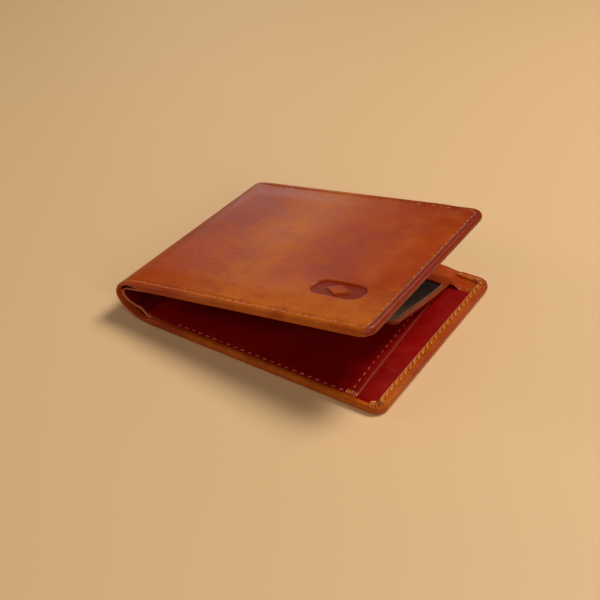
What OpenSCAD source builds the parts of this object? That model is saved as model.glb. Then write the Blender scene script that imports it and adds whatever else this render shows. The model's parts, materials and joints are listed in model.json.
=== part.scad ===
// A folding leather wallet: two halves on a soft spine, with a flip-up window flap inside.
// Every piece is drawn with the wallet laid open flat, its outside down on z = 0, and is then
// folded at the three creases of the spine. A crease is a line where the outer leather bends.
// The origin is the middle of the rear half's underside. +X runs from the spine to the free
// edge, +Y from the stitched front edge to the open back edge of the note compartment.

/* [Overall] */
// Length of the wallet along its spine
height = 93; // [84:1:115]
// Width of the rear half, from its crease to its free edge
rear_w = 103; // [94:1:125]
// Width of the front half, from its crease to its free edge
front_w = 104.5; // [94:1:126]
// Radius of the free corners
corner_r = 6; // [4:0.5:12]

/* [Spine] */
// Width of the strip between the rear half's crease and the middle crease
lower_strip_w = 14.5; // [13:0.1:20]
// Width of the strip between the middle crease and the front half's crease
upper_strip_w = 9.2; // [8:0.1:14]
// Fold at the rear half's crease, in degrees from flat
lower_turn = 38; // [32:1:42]
// Fold at the middle crease, in degrees from flat
middle_turn = 86.2; // [80:0.1:90]
// Fold at the front half's crease, in degrees from flat
upper_turn = 46; // [38:1:48]
// Room left at each crease for a further fold, as a share of its fold
shut_share = 0.0576; // [0.02:0.0002:0.08]

/* [Layers] */
// Outer leather
cover_t = 1.0; // [0.8:0.1:1.6]
// Stiffening board behind the outer leather
board_t = 0.3; // [0.2:0.1:0.6]
// Cloth lining of the note compartment
lining_t = 0.2; // [0.1:0.1:0.4]
// Room in the empty note compartment
note_gap = 0.3; // [0.2:0.1:1]
// Cloth backing of the inner leather
backing_t = 0.2; // [0.1:0.1:0.4]
// Inner leather panel
panel_t = 0.6; // [0.4:0.1:1]
// Side pocket on the rear half
pocket_t = 0.7; // [0.4:0.1:1.2]
// Each card slot on the front half
slot_t = 0.5; // [0.3:0.1:0.8]

/* [Edges] */
// Outer leather turned over the inner leather
hem_t = 0.9; // [0.6:0.1:1.2]
// How far it is turned in
hem_w = 4.3; // [3.5:0.1:7]
// Leather that closes the edge between the covers
edge_t = 1.0; // [0.6:0.1:1.2]
// Length of the back edge that is sewn shut beside each free corner
corner_seam = 9; // [5:1:20]
// Width of the leather strip along the back edge of the rear half's inside
top_strip_w = 12.5; // [9:0.5:20]

/* [Pockets] */
// From the free edge to the mouth of the side pocket
pocket_mouth = 12.4; // [9:0.2:25]
// From the crease to the side pocket and to the card slots
pocket_start = 7; // [5:0.5:12]
// From the back edge to the mouth of the first card slot
slot_first = 21; // [16:1:30]
// From one card slot's mouth to the next
slot_step = 12; // [8:1:14]

/* [Flap] */
// Width of the flap along the top strip
flap_w = 92; // [70:1:92]
// Length of the flap from its hinge to its free edge
flap_len = 53; // [40:1:60]
// From the free edge of the rear half to the flap
flap_side = 9.6; // [6:0.2:14]
// Radius of the flap's free corners
flap_corner_r = 4; // [3:0.5:10]
// Leather border round the window
flap_border = 4.5; // [4:0.5:12]
// Front leather of the flap
flap_frame_t = 0.8; // [0.5:0.1:1.2]
// Clear sheet behind the window
window_t = 0.3; // [0.2:0.1:0.6]
// Back leather of the flap
flap_back_t = 0.8; // [0.5:0.1:1.2]
// How far the flap stands up
flap_raise = 4.5; // [2:0.5:4.5]

/* [Emblem] */
// Length and width of the pressed mark on the front cover
emblem_size = [19, 8]; // [12:1:24]
// From the free edge and from the front edge to the middle of the mark
emblem_at = [23, 20.5]; // [14:0.5:40]
// Depth of the mark
emblem_depth = 0.3; // [0.2:0.1:0.5]

/* [Stitching] */
// From the edge to the row of stitches
seam_inset = 2.8; // [2.2:0.1:3.2]
// Length of a stitch
stitch_l = 2.2; // [1.5:0.1:3]
// Width of a stitch
stitch_w = 0.7; // [0.4:0.1:1]
// Height of a stitch, and depth of the groove that it lies in
stitch_h = 0.35; // [0.2:0.05:0.4]
// Distance from one stitch to the next
stitch_pitch = 3.2; // [2.6:0.1:5]

/* [Hidden] */
$fn = 48;

slot_count = 3;     // card slots on the front half
clear = 0.3;        // between pieces that move past each other
crease_gap = 0.1;   // kept free on each side of a crease
cut = 1;            // how far a cutting shape runs past what it cuts

// Heights of the layers, counted from the outside of the leather
board_z = cover_t;
lining_z = board_z + board_t;
backing_z = lining_z + lining_t + note_gap;
panel_z = backing_z + backing_t;
top_z = panel_z + panel_t;
hem_top = top_z + hem_t;
strip_front = height / 2 - top_strip_w;

// Creases of the flat leather, as distances from the origin towards -X
lower_crease = rear_w / 2;
middle_crease = lower_crease + lower_strip_w;
upper_crease = middle_crease + upper_strip_w;

// Slope of the mitre at each crease when the wallet is pressed shut
shut = 1 + shut_share;
lower_mitre = tan(lower_turn * shut / 2);
middle_mitre = tan(middle_turn * shut / 2);
upper_mitre = tan(upper_turn * shut / 2);

// Place of a body of the folded wallet
module about_crease(crease, turn) {
  translate([-crease, 0, 0]) rotate([0, turn, 0]) translate([crease, 0, 0]) children();
}
module fold_lower() about_crease(lower_crease, lower_turn) children();
module fold_upper() fold_lower() about_crease(middle_crease, middle_turn) children();
module fold_front() fold_upper() about_crease(upper_crease, upper_turn) children();

// Place of one half: its own x runs from its crease to its free edge
module rear_half() translate([-lower_crease, 0, 0]) children();
module front_half() fold_front() translate([-upper_crease, 0, 0]) mirror([1, 0, 0]) children();

// Outline of one half, set in from its three outer edges, square at the crease
module half_outline(w, inset = 0, start = 0) {
  r = max(corner_r - inset, 0.5);
  side = height / 2 - inset;
  translate([start, -side]) square([w - inset - r - start, 2 * side]);
  translate([start, r - side]) square([w - inset - start, 2 * (side - r)]);
  for (end = [-1, 1]) translate([w - inset - r, end * (side - r)]) circle(r);
}

// A layer of one half: it starts far enough from the crease to let the fold close
module layer(w, z, t, mitre, inset = 0, start = 0) {
  first = max(start, (z + t) * mitre + crease_gap);
  translate([0, 0, z]) linear_extrude(t) half_outline(w, inset, first);
}

// Wedge that mitres the outer leather at a crease
module crease_cut(mitre) {
  rotate([90, 0, 0]) linear_extrude(height + 2 * cut, center = true)
    polygon([[-cut, -cut], [crease_gap, -cut], [crease_gap, 0],
             [crease_gap + cover_t * mitre, cover_t], [-cut, cover_t + cut]]);
}

// Groove on the outside for the row of stitches, with room for a straight stitch at a corner
module seam_groove(w, mitre) {
  first = cover_t * mitre + seam_inset;
  corner_room = stitch_l * stitch_l / (8 * (corner_r - seam_inset - stitch_w / 2));
  half_groove = stitch_w / 2 + corner_room;
  translate([0, 0, -cut]) linear_extrude(stitch_h + cut) difference() {
    half_outline(w, seam_inset - half_groove, first);
    half_outline(w, seam_inset + half_groove, first - cut);
  }
}

module outer_leather(w, mitre) difference() {
  linear_extrude(cover_t) half_outline(w);
  crease_cut(mitre);
  seam_groove(w, mitre);
}

// Outline of the turned edge: front and free edges, and the sewn end of the back edge
module edge_outline(w, start, from, to) difference() {
  half_outline(w, from, start);
  half_outline(w, to, start - cut);
  translate([start - cut, height / 2 - hem_w - cut])
    square([w - corner_r - corner_seam - start + cut, hem_w + 2 * cut]);
}

// Outer leather turned round the edge and over the inner leather
module turned_edge(w, mitre) {
  start = hem_top * mitre + crease_gap;
  translate([0, 0, cover_t]) linear_extrude(hem_top - cover_t) edge_outline(w, start, 0, edge_t);
  translate([0, 0, top_z]) linear_extrude(hem_t) edge_outline(w, start, edge_t / 2, hem_w);
}

// Leather strip on the back edge of the inner leather, wrapped round that edge
module top_strip(w, mitre, strip_w) {
  start = hem_top * mitre + crease_gap;
  sewn = w - corner_r - corner_seam;
  translate([0, 0, top_z]) linear_extrude(hem_t) {
    translate([start, height / 2 - strip_w]) square([sewn - start, strip_w - edge_t / 2]);
    if (strip_w > hem_w) difference() {
      translate([start, height / 2 - strip_w]) square([w - hem_w - start, strip_w - hem_w]);
      edge_outline(w, start, 0, hem_w);
    }
  }
  translate([start, height / 2 - edge_t, backing_z])
    cube([sewn - start, edge_t, hem_top - backing_z]);
}

// Stitch bars, centred on the row, lying on the plane z = 0 of the caller
module stitch() translate([-stitch_l / 2, -stitch_w / 2, 0]) cube([stitch_l, stitch_w, stitch_h]);
module stitch_line(length) {
  count = max(1, floor(length / stitch_pitch));
  for (i = [0 : count - 1]) translate([(i + 0.5) * length / count, 0, 0]) stitch();
}
module stitch_corner(r) {
  count = max(1, round(r * PI / 2 / stitch_pitch));
  for (i = [0 : count - 1]) rotate([0, 0, (i + 0.5) * 90 / count])
    translate([r, 0, 0]) rotate([0, 0, 90]) stitch();
}

// Row of stitches round the front and free edges, and along the back edge from back_start
module edge_row(w, start, back_start) {
  r = corner_r - seam_inset;
  side = height / 2 - seam_inset;
  far = w - corner_r;
  translate([start, -side, 0]) stitch_line(far - start);
  translate([far, r - side, 0]) rotate([0, 0, -90]) stitch_corner(r);
  translate([w - seam_inset, r - side, 0]) rotate([0, 0, 90]) stitch_line(2 * (side - r));
  translate([far, side - r, 0]) stitch_corner(r);
  translate([back_start, side, 0]) stitch_line(far - back_start);
}

// Stitches of one half: the row in the outside groove and the row on the turned edge
module edge_stitches(w, mitre) {
  first = cover_t * mitre + seam_inset + 1;
  edge_row(w, first, first);
  translate([0, 0, hem_top])
    edge_row(w, hem_top * mitre + seam_inset, w - corner_r - corner_seam);
}

// Spine strip: outer leather mitred at both creases, x measured from the strip's first crease
module strip_leather(w, first_mitre, last_mitre) {
  a = crease_gap;
  rotate([90, 0, 0]) linear_extrude(height, center = true)
    polygon([[a, 0], [w - a, 0], [w - a - cover_t * last_mitre, cover_t],
             [a + cover_t * first_mitre, cover_t]]);
}
module strip_lining(w, first_mitre, last_mitre) {
  first = top_z * first_mitre + crease_gap;
  last = w - top_z * last_mitre - crease_gap;
  translate([first, edge_t - height / 2, backing_z])
    cube([last - first, height - 2 * edge_t, top_z - backing_z]);
}
module lower_strip() fold_lower() translate([-lower_crease, 0, 0]) mirror([1, 0, 0]) children();
module upper_strip() fold_upper() translate([-middle_crease, 0, 0]) mirror([1, 0, 0]) children();

// Rear half
module rear_cover() color([0.66, 0.36, 0.13]) rear_half() outer_leather(rear_w, lower_mitre);
module rear_board() color([0.45, 0.40, 0.34])
  rear_half() layer(rear_w, board_z, board_t, lower_mitre, inset = edge_t);
module rear_lining() color([0.16, 0.08, 0.06])
  rear_half() layer(rear_w, lining_z, lining_t, lower_mitre, inset = edge_t);
module rear_panel_backing() color([0.16, 0.08, 0.06])
  rear_half() layer(rear_w, backing_z, backing_t, lower_mitre, inset = edge_t);
module rear_inner_panel() color([0.42, 0.02, 0.02])
  rear_half() layer(rear_w, panel_z, panel_t, lower_mitre, inset = edge_t);
module rear_turned_edge() color([0.60, 0.26, 0.07]) rear_half() turned_edge(rear_w, lower_mitre);
module rear_top_strip() color([0.66, 0.38, 0.18])
  rear_half() top_strip(rear_w, lower_mitre, top_strip_w);
module rear_side_pocket() color([0.30, 0.02, 0.02]) rear_half()
  translate([pocket_start, hem_w - height / 2, top_z])
    cube([rear_w - pocket_mouth - pocket_start, strip_front - hem_w + height / 2, pocket_t]);
module rear_edge_stitches() color([0.25, 0.09, 0.04])
  rear_half() edge_stitches(rear_w, lower_mitre);
module rear_strip_stitches() color([0.25, 0.09, 0.04]) rear_half()
  translate([pocket_start, strip_front + seam_inset, hem_top])
    stitch_line(rear_w - hem_w - pocket_start);
module pocket_mouth_stitches() color([0.25, 0.09, 0.04]) rear_half()
  translate([rear_w - pocket_mouth - seam_inset, hem_w - height / 2 + stitch_l, top_z + pocket_t])
    rotate([0, 0, 90]) stitch_line(strip_front - hem_w + height / 2 - 2 * stitch_l);
// Short rows across both ends of the pocket mouth
module pocket_bar_tacks() color([0.25, 0.09, 0.04]) rear_half()
  for (y = [hem_w - height / 2 + stitch_w, strip_front - stitch_w])
    translate([rear_w - pocket_mouth - stitch_l / 2, y, top_z + pocket_t]) stitch();

// Spine
module spine_leather_lower() color([0.48, 0.22, 0.10])
  lower_strip() strip_leather(lower_strip_w, lower_mitre, middle_mitre);
module spine_lining_lower() color([0.20, 0.03, 0.02])
  lower_strip() strip_lining(lower_strip_w, lower_mitre, middle_mitre);
module spine_leather_upper() color([0.52, 0.24, 0.10])
  upper_strip() strip_leather(upper_strip_w, middle_mitre, upper_mitre);
module spine_lining_upper() color([0.20, 0.03, 0.02])
  upper_strip() strip_lining(upper_strip_w, middle_mitre, upper_mitre);

// Pressed mark: a bar with round ends and a diamond standing in its middle
module emblem_outline() {
  r = emblem_size[1] / 2;
  difference() {
    union() {
      square([emblem_size[0] - 2 * r, 2 * r], center = true);
      for (end = [-1, 1]) translate([end * (emblem_size[0] / 2 - r), 0]) circle(r);
    }
    polygon([[-r, 0], [0, -0.6 * r], [r, 0], [0, 0.6 * r]]);
  }
}

// Front half
module front_cover() color([0.66, 0.33, 0.10]) front_half() difference() {
  outer_leather(front_w, upper_mitre);
  translate([front_w - emblem_at[0], emblem_at[1] - height / 2, -cut])
    linear_extrude(emblem_depth + cut) emblem_outline();
}
module front_board() color([0.45, 0.40, 0.34])
  front_half() layer(front_w, board_z, board_t, upper_mitre, inset = edge_t);
module front_lining() color([0.16, 0.08, 0.06])
  front_half() layer(front_w, lining_z, lining_t, upper_mitre, inset = edge_t);
module front_panel_backing() color([0.16, 0.08, 0.06])
  front_half() layer(front_w, backing_z, backing_t, upper_mitre, inset = edge_t);
module front_inner_panel() color([0.42, 0.02, 0.02])
  front_half() layer(front_w, panel_z, panel_t, upper_mitre, inset = edge_t);
module front_turned_edge() color([0.60, 0.26, 0.07])
  front_half() turned_edge(front_w, upper_mitre);
module front_top_strip() color([0.60, 0.26, 0.07])
  front_half() top_strip(front_w, upper_mitre, hem_w);
module front_edge_stitches() color([0.25, 0.09, 0.04])
  front_half() edge_stitches(front_w, upper_mitre);

// Card slots: each lies on the one before and its mouth is one step nearer the front edge
module card_slot(i) {
  depth = height - slot_first - (i - 1) * slot_step;
  translate([0, 0, top_z + (i - 1) * slot_t]) linear_extrude(slot_t) intersection() {
    half_outline(front_w, hem_w, pocket_start);
    translate([0, -height / 2]) square([front_w, depth]);
  }
}
module front_card_slot_1() color([0.34, 0.02, 0.02]) front_half() card_slot(1);
module front_card_slot_2() color([0.38, 0.02, 0.02]) front_half() card_slot(2);
module front_card_slot_3() color([0.34, 0.02, 0.02]) front_half() card_slot(3);

// Rows that close both ends of the card slots, each on the step that it crosses
module front_slot_stitches() color([0.25, 0.09, 0.04]) front_half()
  for (i = [1 : slot_count], x = [pocket_start + seam_inset, front_w - hem_w - seam_inset])
    translate([x, height / 2 - slot_first - i * slot_step, top_z + i * slot_t])
      rotate([0, 0, 90]) stitch_line(slot_step);

// Flap: drawn lying flat, x from its spine side, y from its hinge towards the front edge
flap_z = top_z + pocket_t + stitch_h + clear;
flap_y = strip_front - 2 * clear;
module flap() rear_half()
  translate([rear_w - flap_side - flap_w, flap_y, flap_z]) rotate([-flap_raise, 0, 0])
    children();
module flap_outline(inset = 0) {
  r = max(flap_corner_r - inset, 0.5);
  translate([inset, r + inset - flap_len]) square([flap_w - 2 * inset, flap_len - r - 2 * inset]);
  translate([inset + r, inset - flap_len])
    square([flap_w - 2 * (r + inset), flap_len - 2 * inset]);
  for (x = [inset + r, flap_w - inset - r]) translate([x, inset + r - flap_len]) circle(r);
}
module flap_sheet(z, t, inset = 0) translate([0, 0, z]) linear_extrude(t) flap_outline(inset);
module flap_back() color([0.34, 0.02, 0.02]) flap() flap_sheet(0, flap_back_t);
module flap_window() color([0.75, 0.75, 0.72, 0.4])
  flap() flap_sheet(flap_back_t, window_t, inset = edge_t);
module flap_frame() color([0.49, 0.20, 0.09]) flap()
  translate([0, 0, flap_back_t + window_t]) linear_extrude(flap_frame_t) difference() {
    flap_outline();
    flap_outline(flap_border);
  }
module flap_stitches() color([0.25, 0.09, 0.04])
  flap() translate([0, 0, flap_back_t + window_t + flap_frame_t]) {
    for (x = [seam_inset, flap_w - seam_inset])
      translate([x, flap_corner_r - flap_len, 0])
        rotate([0, 0, 90]) stitch_line(flap_len - flap_corner_r - seam_inset);
    for (y = [-seam_inset, seam_inset - flap_len])
      translate([flap_corner_r, y, 0]) stitch_line(flap_w - 2 * flap_corner_r);
  }

rear_cover();
rear_board();
rear_lining();
rear_panel_backing();
rear_inner_panel();
rear_turned_edge();
rear_top_strip();
rear_side_pocket();
rear_edge_stitches();
rear_strip_stitches();
pocket_mouth_stitches();
pocket_bar_tacks();
spine_leather_lower();
spine_lining_lower();
spine_leather_upper();
spine_lining_upper();
front_cover();
front_board();
front_lining();
front_panel_backing();
front_inner_panel();
front_turned_edge();
front_top_strip();
front_card_slot_1();
front_card_slot_2();
front_card_slot_3();
front_edge_stitches();
front_slot_stitches();
flap_frame();
flap_window();
flap_back();
flap_stitches();
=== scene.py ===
import json
import math

import bmesh
import bpy
from mathutils import Matrix, Vector, noise
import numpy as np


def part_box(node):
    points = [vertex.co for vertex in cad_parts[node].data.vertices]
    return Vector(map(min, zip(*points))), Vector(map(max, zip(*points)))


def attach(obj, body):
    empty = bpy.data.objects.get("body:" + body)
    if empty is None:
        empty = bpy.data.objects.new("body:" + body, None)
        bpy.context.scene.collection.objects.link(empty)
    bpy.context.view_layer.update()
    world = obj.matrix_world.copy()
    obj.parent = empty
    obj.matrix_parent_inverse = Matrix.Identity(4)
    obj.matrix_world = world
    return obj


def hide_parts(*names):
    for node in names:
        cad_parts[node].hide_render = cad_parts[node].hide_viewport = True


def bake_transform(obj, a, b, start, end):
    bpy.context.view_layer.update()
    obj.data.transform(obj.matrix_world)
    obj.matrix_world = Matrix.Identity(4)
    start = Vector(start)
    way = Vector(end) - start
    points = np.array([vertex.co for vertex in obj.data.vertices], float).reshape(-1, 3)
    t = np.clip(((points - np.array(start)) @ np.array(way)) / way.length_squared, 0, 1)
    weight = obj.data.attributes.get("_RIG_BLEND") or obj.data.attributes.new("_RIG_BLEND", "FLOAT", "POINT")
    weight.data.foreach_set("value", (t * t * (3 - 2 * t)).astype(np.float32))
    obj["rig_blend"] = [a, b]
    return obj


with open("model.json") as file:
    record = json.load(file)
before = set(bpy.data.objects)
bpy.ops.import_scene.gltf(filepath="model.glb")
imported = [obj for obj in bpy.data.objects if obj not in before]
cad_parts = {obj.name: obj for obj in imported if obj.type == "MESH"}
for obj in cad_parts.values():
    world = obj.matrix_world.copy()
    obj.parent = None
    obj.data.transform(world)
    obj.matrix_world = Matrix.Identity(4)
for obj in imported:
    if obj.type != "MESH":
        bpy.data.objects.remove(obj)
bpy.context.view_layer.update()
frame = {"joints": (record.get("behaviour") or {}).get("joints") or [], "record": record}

# ---------------------------------------------------------------------------------------------
# Studio: a plain pale table, one broad soft light from above, four weaker ones round it, and the
# camera at the height of someone sitting at the table.

MM = 0.001
TABLE_REACH = 1.1        # metres from the middle of the table to its edge
AZIMUTH, ELEVATION = math.radians(32.0), math.radians(35.2)
LENS = 60.24
CAMERA_AT = Vector((162.0, -274.9, 227.3)) * MM


def display_colour(red, green, blue):
    """Colour given as 0 to 255 display values, as a shader colour."""
    linear = [((v / 255 + 0.055) / 1.055) ** 2.4 if v > 10 else v / 3295 for v in (red, green, blue)]
    return (*linear, 1.0)


def soft_light(name, at, aim, size, power, colour):
    """Square area light at one point, facing another."""
    light = bpy.data.lights.new(name, "AREA")
    light.shape, light.size = "SQUARE", size
    light.energy, light.color = power, colour
    lamp = bpy.data.objects.new(name, light)
    lamp.location = at
    lamp.rotation_mode = "QUATERNION"
    lamp.rotation_quaternion = (Vector(aim) - Vector(at)).to_track_quat("-Z", "Y")
    bpy.context.scene.collection.objects.link(lamp)


camera_data = bpy.data.cameras.new("camera")
camera_data.lens = LENS
camera = bpy.data.objects.new("camera", camera_data)
bpy.context.scene.collection.objects.link(camera)
back = Vector((math.sin(AZIMUTH) * math.cos(ELEVATION),
               -math.cos(AZIMUTH) * math.cos(ELEVATION), math.sin(ELEVATION)))
camera.location = CAMERA_AT
camera.rotation_mode = "QUATERNION"
camera.rotation_quaternion = (-back).to_track_quat("-Z", "Y")
bpy.context.scene.camera = camera

WARM, PALE = (1.0, 0.93, 0.84), (1.0, 0.95, 0.88)
for light_name, light_at, light_aim, light_size, watts, tint in (
        ("far_wall", (-0.836, 0.996, 0.21), (0, 0, 0.02), 0.34, 0.8, WARM),
        ("ceiling", (0.30, 0.40, 0.86), (0, 0, 0), 0.42, 7.7, PALE),
        ("lamp", (-0.20, -0.78, 0.74), (0, 0, 0), 0.36, 0.5, PALE),
        ("room", (0.75, -0.50, 0.42), (0, 0, 0.01), 0.4, 2.4, WARM),
        ("window", (-0.98, -0.36, 0.30), (0, 0, 0.01), 0.32, 2.2, PALE)):
    soft_light(light_name, light_at, light_aim, light_size, watts, tint)

# A faint warm light from everywhere, and a pale wall where the camera looks past the table
world = bpy.data.worlds.new("room_light")
world.use_nodes = True
sky = world.node_tree
air = sky.nodes["Background"]
air.inputs["Color"].default_value = (1.0, 0.93, 0.85, 1)
air.inputs["Strength"].default_value = 0.05
wall = sky.nodes.new("ShaderNodeBackground")
wall.inputs["Color"].default_value = display_colour(208, 192, 164)
seen = sky.nodes.new("ShaderNodeLightPath")
either = sky.nodes.new("ShaderNodeMixShader")
sky.links.new(seen.outputs["Is Camera Ray"], either.inputs["Fac"])
sky.links.new(air.outputs["Background"], either.inputs[1])
sky.links.new(wall.outputs["Background"], either.inputs[2])
sky.links.new(either.outputs["Shader"], sky.nodes["World Output"].inputs["Surface"])
bpy.context.scene.world = world
bpy.context.scene.view_settings.view_transform = "Standard"

table_mesh = bmesh.new()
bmesh.ops.create_grid(table_mesh, x_segments=1, y_segments=1, size=TABLE_REACH)
table_data = bpy.data.meshes.new("table")
table_mesh.to_mesh(table_data)
table_mesh.free()
table = bpy.data.objects.new("table", table_data)
bpy.context.scene.collection.objects.link(table)
table_paint = bpy.data.materials.new("pale_table")
table_paint.use_nodes = True
table_shader = table_paint.node_tree.nodes["Principled BSDF"]
table_shader.inputs["Base Color"].default_value = display_colour(232, 192, 142)
table_shader.inputs["Roughness"].default_value = 0.6
table_data.materials.append(table_paint)

# ---------------------------------------------------------------------------------------------
# Outer leather: one skin of waxed tan leather from the rear half, round the spine, to the front
# half. Its front and free edges are turned over the inside and its back edge over the lining.
# It is modelled in three lengths, which meet half way along each strip of the spine.

joints = {j["name"]: j for j in frame["joints"]}
ratios = {c["joint"]: c["ratio"] for c in frame["record"]["behaviour"]["couplings"]}
open_turn = math.radians(joints["middle_crease"]["range_deg"][1]) * (1 + sum(ratios.values()))
front_slope = math.pi - open_turn
lower_crease, upper_crease = (Vector(joints[n]["pos_m"]) / MM for n in ("lower_crease", "upper_crease"))
rear_low, rear_high = (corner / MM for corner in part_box("rear_cover"))
front_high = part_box("front_cover")[1] / MM
height = rear_high.y - rear_low.y
front_edge_y = rear_low.y
front_way = Vector((math.cos(front_slope), 0, math.sin(front_slope)))
front_length = (front_high.x - upper_crease.x) / front_way.x

# Sizes in millimetres
SHELL_THICK = 0.6
EDGE_HEIGHT = 3.4        # of the rear half's sewn edges
FRONT_EDGE_HEIGHT = 3.2  # of the front half's sewn edges
SPINE_EDGE = 1.4         # of the turned edge where the spine bends
BACK_EDGE = 1.7          # of the open edge of the note compartment
HEM_FREE = 4.0           # width of the leather turned in, at most edges
HEM_FRONT = 1.8          # the same at the rear half's front edge
HEM_THIN = 2.0           # the same at the spine and at the note compartment
CORNER = 5.5             # radius of the outer corners
SEAM = 2.8               # from the edge to the stitches
GROOVE = 0.22            # depth of the groove that the stitches lie in
SEWN_END = 14.5          # how far from the free edge the back edge is sewn shut
THINNING = 3.0           # how far before and after that the edge takes to get thin
SHELL_STEP = 1.0         # between the lines of the leather's mesh
SPINE_STEP = 0.6         # the same where it bends
MARK_STEP = 0.28         # the same in the pressed mark
HEM_STEPS, ROLL_STEPS = 6, 10
BEYOND = 99.0            # more than any distance from an edge


def curve_point(curve, t):
    """Point and direction on a cubic curve with four control points."""
    a, b, c, d = curve
    s = 1 - t
    point = a * s ** 3 + b * (3 * s * s * t) + c * (3 * s * t * t) + d * t ** 3
    way = ((b - a) * s * s + (c - b) * (2 * s * t) + (d - c) * t * t).normalized()
    return point, way


def smooth(value, low, high):
    """0 below low, 1 above high, and an even ease between them."""
    t = min(1.0, max(0.0, (value - low) / (high - low)))
    return t * t * (3 - 2 * t)


def bent_path(start, curves, end):
    """Path that runs straight from start, through the curves and straight to end: its length, and a
    function that gives the point and direction at a distance along it."""
    samples = [curve_point(c, n / 120) for c in curves for n in range(121)]
    first, last = samples[0][0], samples[-1][0]
    marks, total = [], (first - start).length
    for n, (point, _) in enumerate(samples):
        total += (point - samples[max(n - 1, 0)][0]).length
        marks.append(total)
    whole = total + (end - last).length

    def at(distance):
        if distance <= marks[0]:
            way = samples[0][1]
            return first - way * (marks[0] - distance), way
        if distance >= marks[-1]:
            way = samples[-1][1]
            return last + way * (distance - marks[-1]), way
        low, high = 0, len(marks) - 1
        while high - low > 1:
            middle = (low + high) // 2
            low, high = (middle, high) if marks[middle] <= distance else (low, middle)
        share = (distance - marks[low]) / max(marks[high] - marks[low], 1e-9)
        (p, v), (q, w) = samples[low], samples[high]
        return p.lerp(q, share), v.lerp(w, share).normalized()

    return whole, at


# The spine's outline, from the rear half round to the front half, about the two outer creases
bend_start = lower_crease + Vector((5.4, 0, 0))
bulge = lower_crease + Vector((-11.9, 0, 10.0))
bend_end = upper_crease + front_way * 2.2
outline = [(bend_start, bend_start + Vector((-8.5, 0, 0)), bulge + Vector((0, 0, -4.5)), bulge),
           (bulge, bulge + Vector((0, 0, 3.5)), bend_end - front_way * 5.1, bend_end)]
front_tip = upper_crease + front_way * front_length
shell_length, shell_at = bent_path(Vector((rear_high.x, 0, 0)), outline, front_tip)
flat_rear = rear_high.x - bend_start.x
flat_front = (front_tip - bend_end).length
lower_seam = flat_rear + 11.6                   # half way along the spine's lower strip
upper_seam = shell_length - flat_front - 6.2    # half way along its upper strip
# The two bodies that each length joins, and where along the skin it turns from one to the other
bends = (("rear_half", "spine_lower", flat_rear - 1.5, lower_seam - 0.3),
         ("spine_lower", "spine_upper", lower_seam + 0.9, upper_seam - 0.9),
         ("spine_upper", "front_half", upper_seam + 0.3, shell_length - flat_front + 1.5))


def inward(way):
    """Direction from the outside of the leather to its inside."""
    return Vector((way.z, 0, -way.x))


def on_shell(distance, y, depth):
    """Point at a distance from the rear free edge, y from the front edge, and a depth inwards."""
    point, way = shell_at(distance)
    place = point + inward(way) * depth
    return Vector((place.x, front_edge_y + y, place.z))


def edge_ring(k, hem, rise, lines):
    """Distance from the edge and depth of ring k of a turned edge: the hem, the roll, the face."""
    roll_in, roll_out = min(0.9, 0.5 * rise), min(1.6, 0.6 * rise)
    if k < HEM_STEPS:
        return hem + (roll_in - hem) * k / HEM_STEPS, rise
    k -= HEM_STEPS
    if k <= ROLL_STEPS:
        angle = math.pi * (1 - k / ROLL_STEPS)
        roll = roll_in if angle > math.pi / 2 else roll_out
        return roll * (1 - math.sin(angle)), rise / 2 * (1 - math.cos(angle))
    return lines[k - ROLL_STEPS - 1], 0.0


def grid_lines(length, low, high, radius, step, rings, fine=None):
    """Lines across a sheet: the rings of a turned edge at either side, and even steps between,
    with shorter steps inside the stretch fine = (from, to, step)."""
    start, stop = (radius if low else 0.0), length - (radius if high else 0.0)
    count = max(1, round((stop - start) / step))
    middle = [start + (stop - start) * n / count for n in range(count + 1)]
    middle += [] if low else [start + 0.08]
    middle = sorted(middle + ([] if high else [stop - 0.08]))
    if fine:
        inner = round((fine[1] - fine[0]) / fine[2])
        middle = [v for v in middle if not fine[0] - step / 2 < v < fine[1] + step / 2]
        middle = sorted(middle + [fine[0] + (fine[1] - fine[0]) * n / inner for n in range(inner + 1)])
    lines = [("low", k) for k in range(rings)] if low else []
    lines += [("middle", v) for v in middle]
    return lines + ([("high", k) for k in reversed(range(rings))] if high else [])


def even_edge(hem, rise):
    """Edge with the same hem and rise all along."""
    return lambda side, at: (hem, rise)


def no_relief(a, b, inset, hidden, turn):
    """Neither sunk nor pressed."""
    return 0.0, 0.0


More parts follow.
